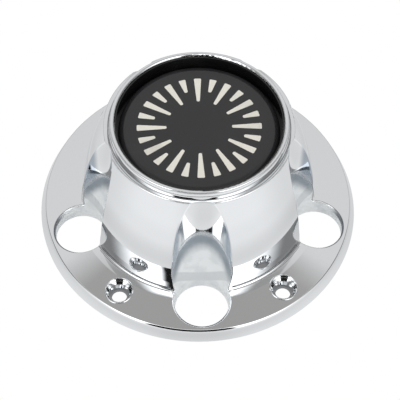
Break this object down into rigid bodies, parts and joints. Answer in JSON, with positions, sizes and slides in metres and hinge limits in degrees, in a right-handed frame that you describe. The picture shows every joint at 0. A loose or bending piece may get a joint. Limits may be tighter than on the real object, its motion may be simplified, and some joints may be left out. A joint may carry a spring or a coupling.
{
  "type": "wheel center cap",
  "caption": "Plated wheel center cap: sloped round flange with lug wells and screw seats, tapered hollow tower and a black dished insert in its beaded top.",
  "frame": {"origin": "centre of the cap on the plane where the flange's skirt, wells and screw seats meet the wheel", "axes": "+Z along the wheel's axis, outwards from the wheel; one lug well faces -Y"},
  "size_m": [0.181, 0.181, 0.079],
  "materials": {
    "plating": "bright mirror plating on plastic, satin inside the lug wells",
    "insert_black": "gloss black moulding with a satin printed pad"
  },
  "bodies": {
    "root": {"cap_shell": "plating", "center_insert": "insert_black"}
  },
  "joints": []
}
